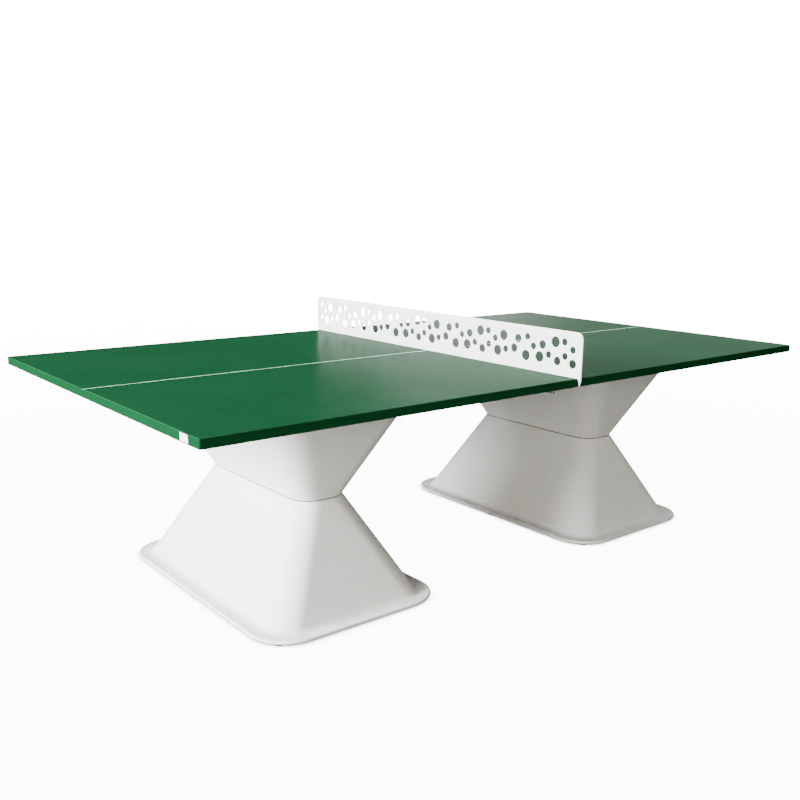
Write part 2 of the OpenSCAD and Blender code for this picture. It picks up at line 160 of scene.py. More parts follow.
def studio_floor():
    """A pale floor that brightens to white away from the table, like a lit sweep, with a painted contact shadow near
    the feet.
    """
    size = 30
    mesh = bpy.data.meshes.new("floor")
    mesh.from_pydata([(-size, -size, 0), (size, -size, 0), (size, size, 0), (-size, size, 0)], [], [(0, 1, 2, 3)])
    floor = bpy.data.objects.new("floor", mesh)
    bpy.context.scene.collection.objects.link(floor)
    paint = bpy.data.materials.new("floor_paint")
    paint.use_nodes = True
    tree = paint.node_tree
    shader = tree.nodes["Principled BSDF"]
    shader.inputs["Base Color"].default_value = (FLOOR_PAINT, FLOOR_PAINT, FLOOR_PAINT, 1)
    shader.inputs["Roughness"].default_value = 0.9
    shader.inputs["Specular IOR Level"].default_value = 0.1
    place = tree.nodes.new("ShaderNodeTexCoord")
    far = tree.nodes.new("ShaderNodeVectorMath")
    far.operation = "LENGTH"
    tree.links.new(place.outputs["Object"], far.inputs[0])
    sweep = tree.nodes.new("ShaderNodeMapRange")
    for name, value in (("From Min", 2.0), ("From Max", 9.0), ("To Min", FLOOR_NEAR), ("To Max", BACKDROP)):
        sweep.inputs[name].default_value = value
    tree.links.new(far.outputs["Value"], sweep.inputs["Value"])
    rays = tree.nodes.new("ShaderNodeLightPath")
    # Painted contact shadow: ambient occlusion dims the floor's glow close to the pedestals and feet.
    gap = tree.nodes.new("ShaderNodeAmbientOcclusion")
    gap.inputs["Distance"].default_value = CONTACT_SHADOW_REACH
    gap.samples = 8
    glow = sweep.outputs[0]
    for part in (rays.outputs["Is Camera Ray"], gap.outputs["AO"]):
        times = tree.nodes.new("ShaderNodeMath")
        times.operation = "MULTIPLY"
        tree.links.new(glow, times.inputs[0])
        tree.links.new(part, times.inputs[1])
        glow = times.outputs[0]
    shader.inputs["Emission Color"].default_value = (1, 1, 1, 1)
    tree.links.new(glow, shader.inputs["Emission Strength"])
    mesh.materials.append(paint)
    return floor


studio_world()
studio_floor()
area_light("key", (-8.0, 0.9, 3.1), (0, 0, 0.5), (4.0, 4.0), 4400, (0.97, 0.985, 1))
area_light("overhead", (1.8, 0.3, 3.6), (0.8, 0, 0.7), (4.0, 4.0), 170)
area_light("low_fill", (-4.8, -3.4, 1.5), (0.3, 0, 0.3), (2.5, 1.5), 265, (1, 0.95, 0.83))
area_light("fill", (2.5, -5.5, 2.2), (0, 0, 0.4), (3.5, 2.5), 62, (1, 0.94, 0.80))
print("studio ready")

# %% [markdown]
# ## Shared tools
# Most shapes are stacks of rounded rectangles, one ring above another, joined by quads. A ring holds
# the same number of points whatever its size, so any two rings can be joined. Two extra points beside
# each corner keep the long flats from shading like barrels.

# %% Mesh helpers
CORNER_STEPS = 14
HOLD = 0.004


def ring(half_x, half_y, radius, z, centre=(0.0, 0.0)):
    """Points of a rounded rectangle, anticlockwise from above."""
    points = []
    for quarter, (sx, sy) in enumerate(((1, 1), (-1, 1), (-1, -1), (1, -1))):
        cx, cy = sx * (half_x - radius), sy * (half_y - radius)
        arc = [math.radians(90 * quarter + 90 * i / CORNER_STEPS) for i in range(CORNER_STEPS + 1)]
        corner = [Vector((cx + radius * math.cos(a), cy + radius * math.sin(a), z)) for a in arc]
        before = Vector((-math.sin(arc[0]), math.cos(arc[0]), 0)) * -HOLD
        after = Vector((-math.sin(arc[-1]), math.cos(arc[-1]), 0)) * HOLD
        points += [corner[0] + before] + corner + [corner[-1] + after]
    return [p + Vector((centre[0], centre[1], 0)) for p in points]


def new_piece(name, mesh):
    piece = bpy.data.objects.new(name, mesh)
    bpy.context.scene.collection.objects.link(piece)
    return piece


def loft(name, rings, closed=False):
    """Skin over a list of rings. A closed loft joins the last ring to the first; an open one is capped."""
    bm = bmesh.new()
    rows = [[bm.verts.new(p) for p in points] for points in rings]
    count = len(rows[0])
    pairs = list(zip(rows, rows[1:])) + ([(rows[-1], rows[0])] if closed else [])
    for low, high in pairs:
        for i in range(count):
            j = (i + 1) % count
            bm.faces.new((low[i], low[j], high[j], high[i]))
    if not closed:
        bm.faces.new(list(reversed(rows[0])))
        bm.faces.new(rows[-1])
    bmesh.ops.recalc_face_normals(bm, faces=bm.faces)
    return finish_mesh(name, bm)


def finish_mesh(name, bm):
    mesh = bpy.data.meshes.new(name)
    bm.to_mesh(mesh)
    bm.free()
    for face in mesh.polygons:
        face.use_smooth = True
    return new_piece(name, mesh)


def add_box(bm, low, high):
    """An axis-aligned block, used as a cutter."""
    made = bmesh.ops.create_cube(bm, size=1)["verts"]
    low, high = Vector(low), Vector(high)
    for v in made:
        v.co = Vector([low[k] + (v.co[k] + 0.5) * (high[k] - low[k]) for k in range(3)])
    return made


def apply_modifiers(piece):
    """Turns a piece's modifiers into plain mesh."""
    graph = bpy.context.evaluated_depsgraph_get()
    mesh = bpy.data.meshes.new_from_object(piece.evaluated_get(graph))
    piece.modifiers.clear()
    piece.data = mesh
    return piece


def bevel(piece, width, segments=2, angle=35, smooth=True):
    """Rounds every edge sharper than angle. Weighted normals keep the flats flat to the eye."""
    cut = piece.modifiers.new("bevel", "BEVEL")
    cut.width, cut.segments = width, segments
    cut.limit_method, cut.angle_limit = "ANGLE", math.radians(angle)
    cut.use_clamp_overlap = False
    if smooth:
        piece.modifiers.new("weigh", "WEIGHTED_NORMAL").keep_sharp = True
    apply_modifiers(piece)
    for face in piece.data.polygons:
        face.use_smooth = smooth
    return piece


def dress(piece, material, slot, *nodes):
    """Gives a piece its finish and the body it rides on, and hides the nodes it stands for. The slot is not used."""
    piece.data.materials.clear()
    piece.data.materials.append(material)
    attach(piece, "root")
    if nodes:
        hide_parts(*nodes)
    print(piece.name, len(piece.data.polygons), "faces")
    return piece


# %% [markdown]
# ## Finishes
# Each finish is a small node tree on object coordinates, so it stays put on the piece. A helper makes
# the parts that all share: noise for uneven colour, noise for uneven gloss, and a fine bump.

# %% Material helpers
class Finish:
    """A Principled shader with helpers that add noise, ramps and bump."""

    def __init__(self, name):
        self.material = bpy.data.materials.new(name)
        self.material.use_nodes = True
        self.tree = self.material.node_tree
        self.shader = self.tree.nodes["Principled BSDF"]
        self.place = self.add("ShaderNodeTexCoord").outputs["Object"]

    def add(self, kind, **settings):
        node = self.tree.nodes.new(kind)
        for key, value in settings.items():
            setattr(node, key, value)
        return node

    def link(self, source, target):
        self.tree.links.new(source, target)

    def set(self, **values):
        for name, value in values.items():
            self.shader.inputs[name.replace("_", " ")].default_value = value

    def scaled(self, scale):
        """Object coordinates stretched by scale along each axis."""
        mapping = self.add("ShaderNodeMapping")
        mapping.inputs["Scale"].default_value = scale
        self.link(self.place, mapping.inputs["Vector"])
        return mapping.outputs["Vector"]

    def noise(self, scale, detail=3, roughness=0.55, stretch=(1, 1, 1)):
        node = self.add("ShaderNodeTexNoise")
        node.inputs["Scale"].default_value = scale
        node.inputs["Detail"].default_value = detail
        node.inputs["Roughness"].default_value = roughness
        self.link(self.scaled(stretch), node.inputs["Vector"])
        return node.outputs["Fac"]

    def remap(self, value, low, high, to_low, to_high):
        node = self.add("ShaderNodeMapRange")
        node.inputs["From Min"].default_value = low
        node.inputs["From Max"].default_value = high
        node.inputs["To Min"].default_value = to_low
        node.inputs["To Max"].default_value = to_high
        self.link(value, node.inputs["Value"])
        return node.outputs["Result"]

    def math(self, operation, a, b=None):
        node = self.add("ShaderNodeMath", operation=operation)
        for socket, value in zip(node.inputs, (a, b)):
            if value is None:
                continue
            if isinstance(value, (int, float)):
                socket.default_value = value
            else:
                self.link(value, socket)
        return node.outputs[0]

    def mix(self, factor, first, second):
        """Blends two colours, each a tuple or a socket."""
        node = self.add("ShaderNodeMix", data_type="RGBA")
        self.link(factor, node.inputs["Factor"])
        for socket, value in ((node.inputs[6], first), (node.inputs[7], second)):
            if isinstance(value, tuple):
                socket.default_value = (*value, 1)
            else:
                self.link(value, socket)
        return node.outputs[2]

    def axis(self, index):
        """One object coordinate."""
        node = self.add("ShaderNodeSeparateXYZ")
        self.link(self.place, node.inputs[0])
        return node.outputs[index]

    def colour(self, socket):
        self.link(socket, self.shader.inputs["Base Color"])

    def roughness(self, value, low, high):
        self.link(self.remap(value, 0.3, 0.7, low, high), self.shader.inputs["Roughness"])

    def bump(self, heights, distance, strength=1.0):
        """Sums several (height, weight) pairs into one bump."""
        total = None
        for height, weight in heights:
            part = self.math("MULTIPLY", height, weight)
            total = part if total is None else self.math("ADD", total, part)
        node = self.add("ShaderNodeBump")
        node.inputs["Distance"].default_value = distance
        node.inputs["Strength"].default_value = strength
        self.link(total, node.inputs["Height"])
        self.link(node.outputs["Normal"], self.shader.inputs["Normal"])


# %% [markdown]
# ## Laminate
# The top is a dense laminate with a satin, slightly reflective face. Its green is even, with a faint
# cloudiness and a fine orange peel. Wear shows as a paler line along the outer edges, where bats and
# sleeves rub, and as faint scuffs. The distance to the outline is worked out from object coordinates.

# %% Laminate finish
# Painted shade: the sides and underside of the top are mixed towards a darker green.
EDGE_SHADE_AMOUNT, EDGE_SHADE_GREEN = 0.7, (0.0026, 0.034, 0.0105)


def laminate():
    finish = Finish("laminate_green")
    cloud = finish.noise(2.2, 4)
    speck = finish.noise(38, 3)
    base = finish.mix(finish.remap(cloud, 0.3, 0.7, 0, 1), (0.0060, 0.046, 0.0175), (0.0076, 0.054, 0.0215))
    base = finish.mix(finish.remap(speck, 0.50, 0.80, 0, 0.12), base, (0.018, 0.095, 0.042))
    gap_x = finish.math("SUBTRACT", TOP_HIGH.x, finish.math("ABSOLUTE", finish.axis(0)))
    gap_y = finish.math("SUBTRACT", TOP_HIGH.y, finish.math("ABSOLUTE", finish.axis(1)))
    gap = finish.math("MINIMUM", gap_x, gap_y)
    gap_z = finish.math("SUBTRACT", TOP_HIGH.z, finish.axis(2))
    near = finish.math("MAXIMUM", gap, gap_z)
    rubbed = finish.math("MULTIPLY", finish.remap(near, 0.0004, 0.0016, 1, 0), finish.noise(14, 4))
    # Painted shade: faces more than about a millimetre below the playing surface turn a darker green.
    base = finish.mix(finish.remap(gap_z, 0.0009, 0.0015, 0, EDGE_SHADE_AMOUNT), base, EDGE_SHADE_GREEN)
    base = finish.mix(finish.math("MULTIPLY", rubbed, 0.5), base, (0.04, 0.16, 0.08))
    finish.colour(base)
    scuff = finish.noise(6, 4)
    finish.roughness(scuff, 0.24, 0.268)
    finish.set(IOR=1.0238)
    finish.bump([(finish.noise(13, 1), 1.0)], 0.00002, 0.4)
    return finish.material


LAMINATE = laminate()


def line_paint():
    finish = Finish("line_white")
    worn = finish.noise(45, 4)
    finish.colour(finish.mix(finish.remap(worn, 0.35, 0.75, 0, 1), (0.58, 1.0, 0.76), (0.54, 0.93, 0.70)))
    finish.roughness(worn, 0.35, 0.5)
    finish.bump([(finish.noise(60, 2), 1.0)], 0.00001, 0.4)
    return finish.material


LINE_PAINT = line_paint()
print("laminate and line finishes ready")

# %% [markdown]
# ## Half tops
# Each half is a slab with a shallow groove for the centre line, notches for the net's tabs, and at one
# end a recess for the label. Cutting the groove and notches with one boolean keeps the slab a clean
# solid, and a small bevel then softens every edge that a hand would touch.

# %% Build the half tops
TOP_EDGE, TOP_CORNER = 0.0009, 0.004
LINE_LOW, LINE_HIGH = (Vector(corner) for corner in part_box("centre_line_right"))
LABEL_LOW, LABEL_HIGH = (Vector(corner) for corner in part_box("blank_label"))
TAB_NOTCH = 0.0025


def islands(node):
    """Boxes of the separate solids in a node, as (lowest corner, highest corner) pairs."""
    bm = bmesh.new()
    bm.from_mesh(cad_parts[node].data)
    bmesh.ops.remove_doubles(bm, verts=bm.verts, dist=1e-6)
    left, found = set(bm.verts), []
    while left:
        front, group = [left.pop()], []
        while front:
            v = front.pop()
            group.append(v.co.copy())
            for edge in v.link_edges:
                other = edge.other_vert(v)
                if other in left:
                    left.remove(other)
                    front.append(other)
        found.append(tuple(Vector([pick(p[k] for p in group) for k in range(3)]) for pick in (min, max)))
    bm.free()
    return sorted(found, key=lambda pair: tuple(round(v, 4) for v in pair[0]))


def middles(node):
    return [(low + high) / 2 for low, high in islands(node)]


BRACKETS = [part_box("net_bracket_%d" % i) for i in range(1, 9)]
TAB_SPANS = sorted({(round(low[1], 5), round(high[1], 5)) for low, high in BRACKETS})


def half_top(side):
    low, high = (Vector(corner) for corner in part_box("half_top_" + side))
    centre, half = (low + high) / 2, (high - low) / 2
    outer_end = low.x if side == "left" else high.x
    bm = bmesh.new()
    outline = []
    for quarter, (sx, sy) in enumerate(((1, 1), (-1, 1), (-1, -1), (1, -1))):
        corner = (centre.x + sx * half.x, centre.y + sy * half.y)
        radius, steps = (TOP_CORNER, 7) if corner[0] == outer_end else (0, 1)
        for step in range(steps):
            a = math.radians(90 * quarter + 15 * step)
            outline.append(bm.verts.new((corner[0] - sx * radius + radius * math.cos(a),
                                         corner[1] - sy * radius + radius * math.sin(a), low.z)))
    face = bm.faces.new(outline)
    raised = bmesh.ops.extrude_face_region(bm, geom=[face])["geom"]
    bmesh.ops.translate(bm, verts=[v for v in raised if isinstance(v, bmesh.types.BMVert)],
                        vec=(0, 0, high.z - low.z))
    bmesh.ops.recalc_face_normals(bm, faces=bm.faces)
    piece = bevel(finish_mesh("playing_half_" + side, bm), TOP_EDGE, 3, 50, smooth=False)

    spare = 0.01
    cutter = bmesh.new()
    add_box(cutter, (low.x - spare, LINE_LOW.y, LINE_LOW.z), (high.x + spare, LINE_HIGH.y, high.z + spare))
    for tab_low, tab_high in TAB_SPANS:
        add_box(cutter, (-TAB_NOTCH, tab_low - 0.0005, low.z - spare),
                (TAB_NOTCH, tab_high + 0.0005, high.z + spare))
    if side == "left":
        add_box(cutter, (LABEL_LOW.x - spare, LABEL_LOW.y, LABEL_LOW.z),
                (LABEL_HIGH.x, LABEL_HIGH.y, LABEL_HIGH.z))
    tool = finish_mesh("cutter", cutter)
    cut = piece.modifiers.new("cut", "BOOLEAN")
    cut.object, cut.operation, cut.solver = tool, "DIFFERENCE", "EXACT"
    apply_modifiers(piece)
    bpy.data.objects.remove(tool)
    for face in piece.data.polygons:
        face.use_smooth = False
    return dress(piece, LAMINATE, "laminate_green", "half_top_" + side)


for side in SIDES:
    half_top(side)
    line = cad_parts["centre_line_" + side]
    line.data.materials.clear()
    line.data.materials.append(LINE_PAINT)

# %% [markdown]
# ## Powder-coated steel
# The net plate is cut from sheet steel and powder coated white. Powder coat has a fine, even orange
# peel and a satin sheen, and dust gathers faintly in patches.

# %% Powder coat
def powder_coat():
    finish = Finish("net_white")
    dust = finish.noise(9, 5)
    coat = finish.mix(finish.remap(dust, 0.45, 0.8, 0, 1), (0.84, 0.84, 0.835), (0.74, 0.74, 0.72))
    # Painted shade: the hole walls, where the sheet's thickness shows, are painted dark grey.
    off_face = finish.math("ABSOLUTE", finish.axis(0))
    hole_wall_shade = finish.remap(off_face, NET_HIGH.x - 0.0007, NET_HIGH.x - 0.0004, 1, 0)
    hole_wall_shade = finish.math("MULTIPLY", hole_wall_shade, finish.remap(finish.axis(2), NET_HIGH.z - 0.02, NET_HIGH.z - 0.015, 1, 0))
    off_middle = finish.math("ABSOLUTE", finish.axis(1))
    hole_wall_shade = finish.math("MULTIPLY", hole_wall_shade, finish.remap(off_middle, NET_HIGH.y - 0.03, NET_HIGH.y - 0.025, 1, 0))
    finish.colour(finish.mix(hole_wall_shade, coat, (0.16, 0.17, 0.165)))
    finish.roughness(finish.noise(35, 3), 0.38, 0.5)
    finish.bump([(finish.noise(1400, 2), 1.0), (finish.noise(300, 2), 0.5)], 0.00006, 0.6)
    return finish.material


POWDER_COAT = powder_coat()
print("powder coat ready")

# %% [markdown]
# ## Net plate
# The holes follow one repeat of sixteen holes, laid end to end along the plate, with three more where
# the pattern leaves the ends bare. Geometry Nodes turns a
# cloud of points, each with its own radius, into circles, fills the outline around them and gives the
# sheet its thickness. The outline itself is drawn here, because its tabs and pointed ends follow the
# frame.

# %% Hole pattern and outline
SMALL, MIDDLE, LARGE = 12 * MM, 15 * MM, 18.5 * MM
MOTIF = [(0, 115, SMALL), (5, 49, LARGE), (44, 104, MIDDLE), (62, 68, MIDDLE),
         (104, 59, SMALL), (116, 107, LARGE), (144, 50, LARGE), (158, 92, SMALL),
         (191, 67, SMALL), (195, 115, SMALL), (224, 47, MIDDLE), (235, 111, LARGE),
         (264, 64, SMALL), (293, 95, MIDDLE), (305, 52, LARGE), (335, 85, SMALL)]
MOTIF_LENGTH, MOTIF_START, HOLE_MARGIN = 0.364, -0.530, 0.038
END_HOLES = [(-1, 39, 45, MIDDLE), (1, 34, 118, SMALL), (1, 35, 62, SMALL)]
NET_CORNER, TAIL_DROP, TAIL_TIP, TAIL_GAP = 0.024, 0.027, 0.006, 0.0005
TAIL_POINT = 0.002


def net_holes():
    """(across, up, radius) of each hole, up being above the playing surface."""
    holes = []
    for repeat in range(-4, 5):
        for along, up, radius in MOTIF:
            across = MOTIF_START + repeat * MOTIF_LENGTH + along * MM
            if abs(across) < NET_HIGH.y - HOLE_MARGIN:
                holes.append((across, up * MM, radius))
    holes += [(end * (NET_HIGH.y - inset * MM), up * MM, radius) for end, inset, up, radius in END_HOLES]
    return holes


def net_outline():
    """The plate's outline in (across, up), anticlockwise from the left end of the lower edge."""
    def arc(cx, cy, radius, a, b, steps):
        angles = [a + (b - a) * i / steps for i in range(steps + 1)]
        return [(cx + radius * math.cos(t), cy + radius * math.sin(t)) for t in angles]
    side, reach = TOP_HIGH.y, NET_HIGH.y
    height, deep = NET_HIGH.z - TOP_HIGH.z, NET_LOW.z - TOP_HIGH.z
    rise = TAIL_TIP - TAIL_GAP
    hollow = (rise ** 2 + TAIL_DROP ** 2) / (2 * rise)
    right = arc(side + TAIL_TIP - hollow, -TAIL_DROP, hollow, math.asin(TAIL_DROP / hollow), 0, 12)
    right += [(side + TAIL_TIP + TAIL_POINT, -TAIL_DROP), (reach, -TAIL_DROP * 0.3)]
    right += arc(reach - NET_CORNER, height - NET_CORNER, NET_CORNER, 0, math.pi / 2, 20)
    tabs = [p for low, high in TAB_SPANS for p in ((low, 0), (low, deep), (high, deep), (high, 0))]
    return tabs + right + [(-across, up) for across, up in reversed(right)]


print(len(net_holes()), "holes in the net")


# %% [markdown]
# The tree takes the outline as loose edges and the holes as loose points. An attribute on each point
# carries its hole's radius, and is zero on the outline, so one mesh can bring in both.

# %% Geometry Nodes tree for a perforated sheet
class NodeTree:
    """A Geometry Nodes tree with named inputs."""

    def __init__(self, name):
        self.group = bpy.data.node_groups.new(name, "GeometryNodeTree")
        self.group.interface.new_socket("Geometry", in_out="INPUT", socket_type="NodeSocketGeometry")
        self.group.interface.new_socket("Geometry", in_out="OUTPUT", socket_type="NodeSocketGeometry")
        self.inlet = self.group.nodes.new("NodeGroupInput")
        self.outlet = self.group.nodes.new("NodeGroupOutput")

    def input(self, name, kind):
        return self.group.interface.new_socket(name, in_out="INPUT", socket_type="NodeSocket" + kind)

    def add(self, kind, inputs=None, **settings):
        node = self.group.nodes.new(kind)
        for key, value in settings.items():
            setattr(node, key, value)
        for name, value in (inputs or {}).items():
            if isinstance(value, bpy.types.NodeSocket):
                self.group.links.new(value, node.inputs[name])
            else:
                node.inputs[name].default_value = value
        return node

    def out(self, socket):
        self.group.links.new(socket, self.outlet.inputs[0])


def grow(piece, tree, values):
    """Runs a tree on a piece with the given inputs, and keeps the result as plain mesh."""
    step = piece.modifiers.new("grow", "NODES")
    step.node_group = tree
    for item in tree.interface.items_tree:
        if item.item_type == "SOCKET" and item.in_out == "INPUT" and item.name in values:
            step[item.identifier] = values[item.name]
    graph = bpy.context.evaluated_depsgraph_get()
    mesh = bpy.data.meshes.new_from_object(piece.evaluated_get(graph))
    piece.modifiers.clear()
    piece.data = mesh
    return piece


def perforated_sheet():
    tree = NodeTree("perforated_sheet")
    tree.input("Thickness", "Float")
    tree.input("Hole Steps", "Int")
    tree.input("Material", "Material")
    given = tree.inlet.outputs
    radius = tree.add("GeometryNodeInputNamedAttribute", {"Name": "hole_radius"}, data_type="FLOAT").outputs[0]
    is_hole = tree.add("FunctionNodeCompare", {0: radius, 1: 0.0}, data_type="FLOAT",
                       operation="GREATER_THAN").outputs[0]
    split = tree.add("GeometryNodeSeparateGeometry", {"Geometry": given["Geometry"], "Selection": is_hole},
                     domain="POINT")
    circle = tree.add("GeometryNodeCurvePrimitiveCircle", {"Resolution": given["Hole Steps"], "Radius": 1.0})
    placed = tree.add("GeometryNodeInstanceOnPoints", {"Points": split.outputs[0],
                                                      "Instance": circle.outputs[0], "Scale": radius})
    rims = tree.add("GeometryNodeRealizeInstances", {"Geometry": placed.outputs[0]})
    edge = tree.add("GeometryNodeMeshToCurve", {"Mesh": split.outputs[1]})
    both = tree.add("GeometryNodeJoinGeometry")
    for source in (rims.outputs[0], edge.outputs[0]):
        tree.group.links.new(source, both.inputs[0])
    fill = tree.add("GeometryNodeFillCurve", {"Curve": both.outputs[0]})
    raised = tree.add("GeometryNodeExtrudeMesh", {"Mesh": fill.outputs[0], "Offset Scale": given["Thickness"],
                                                 "Individual": False})
    back = tree.add("GeometryNodeFlipFaces", {"Mesh": fill.outputs[0]})
    solid = tree.add("GeometryNodeJoinGeometry")
    for source in (raised.outputs[0], back.outputs[0]):
        tree.group.links.new(source, solid.inputs[0])
    welded = tree.add("GeometryNodeMergeByDistance", {"Geometry": solid.outputs[0], "Distance": 1e-6})
    whole = tree.add("GeometryNodeRealizeInstances", {"Geometry": welded.outputs[0]})
    coated = tree.add("GeometryNodeSetMaterial", {"Geometry": whole.outputs[0], "Material": given["Material"]})
    tree.out(coated.outputs[0])
    return tree.group


# %% Build the net plate
def net_plate():
    outline, holes = net_outline(), net_holes()
    bolt_holes = [(spot.y, spot.z - TOP_HIGH.z, 0.0045) for spot in middles("net_nuts")]
    holes += bolt_holes
    mesh = bpy.data.meshes.new("net_seed")
    points = [(across, up, 0) for across, up in outline] + [(across, up, 0) for across, up, _ in holes]
    edges = [(i, (i + 1) % len(outline)) for i in range(len(outline))]
    mesh.from_pydata(points, edges, [])
    radii = mesh.attributes.new("hole_radius", "FLOAT", "POINT")
    radii.data.foreach_set("value", [0.0] * len(outline) + [radius for _, _, radius in holes])
    piece = new_piece("net_sheet", mesh)
    thickness = NET_HIGH.x - NET_LOW.x
    grow(piece, perforated_sheet(), {"Thickness": thickness, "Hole Steps": 40, "Material": POWDER_COAT})
    # The sheet was made lying down: stand it up across the table, centred on the seam.
    for v in piece.data.vertices:
        across, up, out = v.co
        v.co = (NET_LOW.x + (out if out > thickness / 2 else 0), across, up + TOP_HIGH.z)
    return piece


def turned_out(piece):
    """Turns a closed mesh's faces outwards."""
    bm = bmesh.new()
    bm.from_mesh(piece.data)
    bmesh.ops.recalc_face_normals(bm, faces=bm.faces)
    bm.to_mesh(piece.data)
    bm.free()
    return piece


net = turned_out(net_plate())
bevel(net, 0.00045, 2, 50)
dress(net, POWDER_COAT, "net_white", "net_plate")

# %% [markdown]
# ## Moulded plastic
# Rotational moulding leaves a matte skin with a faint grain and very soft waves where the plastic
# shrank. Light bleeds a little into the surface. Scuffs and floor dust gather low down, so the foot is
# slightly warmer and duller than the rest.

# %% Moulded plastic finish
def moulded_plastic():
    finish = Finish("shell_white")
    wave = finish.noise(3.5, 2)
    grain = finish.noise(260, 3)
    clean = finish.mix(finish.remap(wave, 0.3, 0.7, 0, 1), (0.80, 0.80, 0.795), (0.76, 0.76, 0.75))
    low_down = finish.remap(finish.axis(2), 0.0, 0.10, 1, 0)
    dust = finish.math("MULTIPLY", low_down, finish.remap(finish.noise(11, 5), 0.35, 0.75, 0, 0.5))
    finish.colour(finish.mix(dust, clean, (0.60, 0.585, 0.55)))
    finish.roughness(finish.noise(22, 4), 0.42, 0.56)
    finish.set(Subsurface_Weight=0.06, Subsurface_Scale=0.01)
    finish.bump([(grain, 0.5), (finish.noise(5, 2), 6.0)], 0.00012, 0.5)
    return finish.material


MOULDED = moulded_plastic()


def black_rubber():
    finish = Finish("rubber_black")
    dust = finish.noise(60, 4)
    finish.colour(finish.mix(finish.remap(dust, 0.4, 0.75, 0, 1), (0.018, 0.018, 0.019), (0.05, 0.048, 0.045)))
    finish.roughness(dust, 0.7, 0.85)
    finish.bump([(finish.noise(900, 2), 1.0)], 0.00008)
    return finish.material


RUBBER = black_rubber()
print("plastic and rubber finishes ready")

# %% [markdown]
# ## Pedestals
# A moulding is a loop of rings: up the outside, in over the waist, down the hand opening and back down
# the inside. Each ring is a section between the moulding's two ends, grown outwards by a small amount
# where a fillet or a rounded lip needs it.

# %% Sections of a pedestal
WALL = 6.72 * MM
WAIST_FLANGE, RIM_FLANGE, RIM_IN = 10 * MM, 8 * MM, 48 * MM
FLANGE_OUT, FLANGE_T = 52 * MM, 12 * MM
GASKET_BACK = 3 * MM
FOOT_RADIUS, WAIST_RADIUS, RIM_RADIUS = 0.088, 0.078, 0.100
HAND_OPENING = (0.050, 0.260, 0.049)


def pedestal_sections(side):
    """Centre, heights and the three sections (half length, half width, radius) of one pedestal."""
    low = [Vector(c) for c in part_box("lower_shell_" + side)]
    high = [Vector(c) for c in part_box("upper_shell_" + side)]
    gasket = [Vector(c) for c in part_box("waist_gasket_" + side)]
    foot, waist, rim = ((pair[1] - pair[0]) / 2 for pair in (low, gasket, high))
    return {
        "centre": ((low[0].x + low[1].x) / 2, 0.0),
        "foot": (foot.x - FLANGE_OUT, foot.y - FLANGE_OUT, FOOT_RADIUS),
        "waist": (waist.x + GASKET_BACK, waist.y + GASKET_BACK, WAIST_RADIUS),
        "rim": (rim.x, rim.y, RIM_RADIUS),
        "floor_gap": low[0].z, "gasket_low": gasket[0].z, "gasket_high": gasket[1].z, "under": high[1].z,
    }


def part_way(a, b, t, out=0.0):
    """The section a part t of the way from a to b, grown outwards by out."""
    return tuple(p + (q - p) * t + out for p, q in zip(a, b))


def stack(centre, steps):
    """Rings from (section, height) steps."""
    return [ring(*section, z, centre) for section, z in steps]


def edge_arc(out, up, radius, start, stop, steps=6):
    """(outwards, height) points on an arc, angles in degrees, for lips and fillets."""
    angles = [math.radians(start + (stop - start) * i / steps) for i in range(steps + 1)]
    return [(out + radius * math.cos(a), up + radius * math.sin(a)) for a in angles]


print({k: v for k, v in pedestal_sections("left").items()})

# %% [markdown]
# The lower moulding has a flange with a raised, rounded lip, a soft fillet up into the sloping wall,
# and a small rounding where the wall meets the waist.

# %% Lower moulding
FILLET, LIP, CREASE = 0.024, 0.006, 0.002


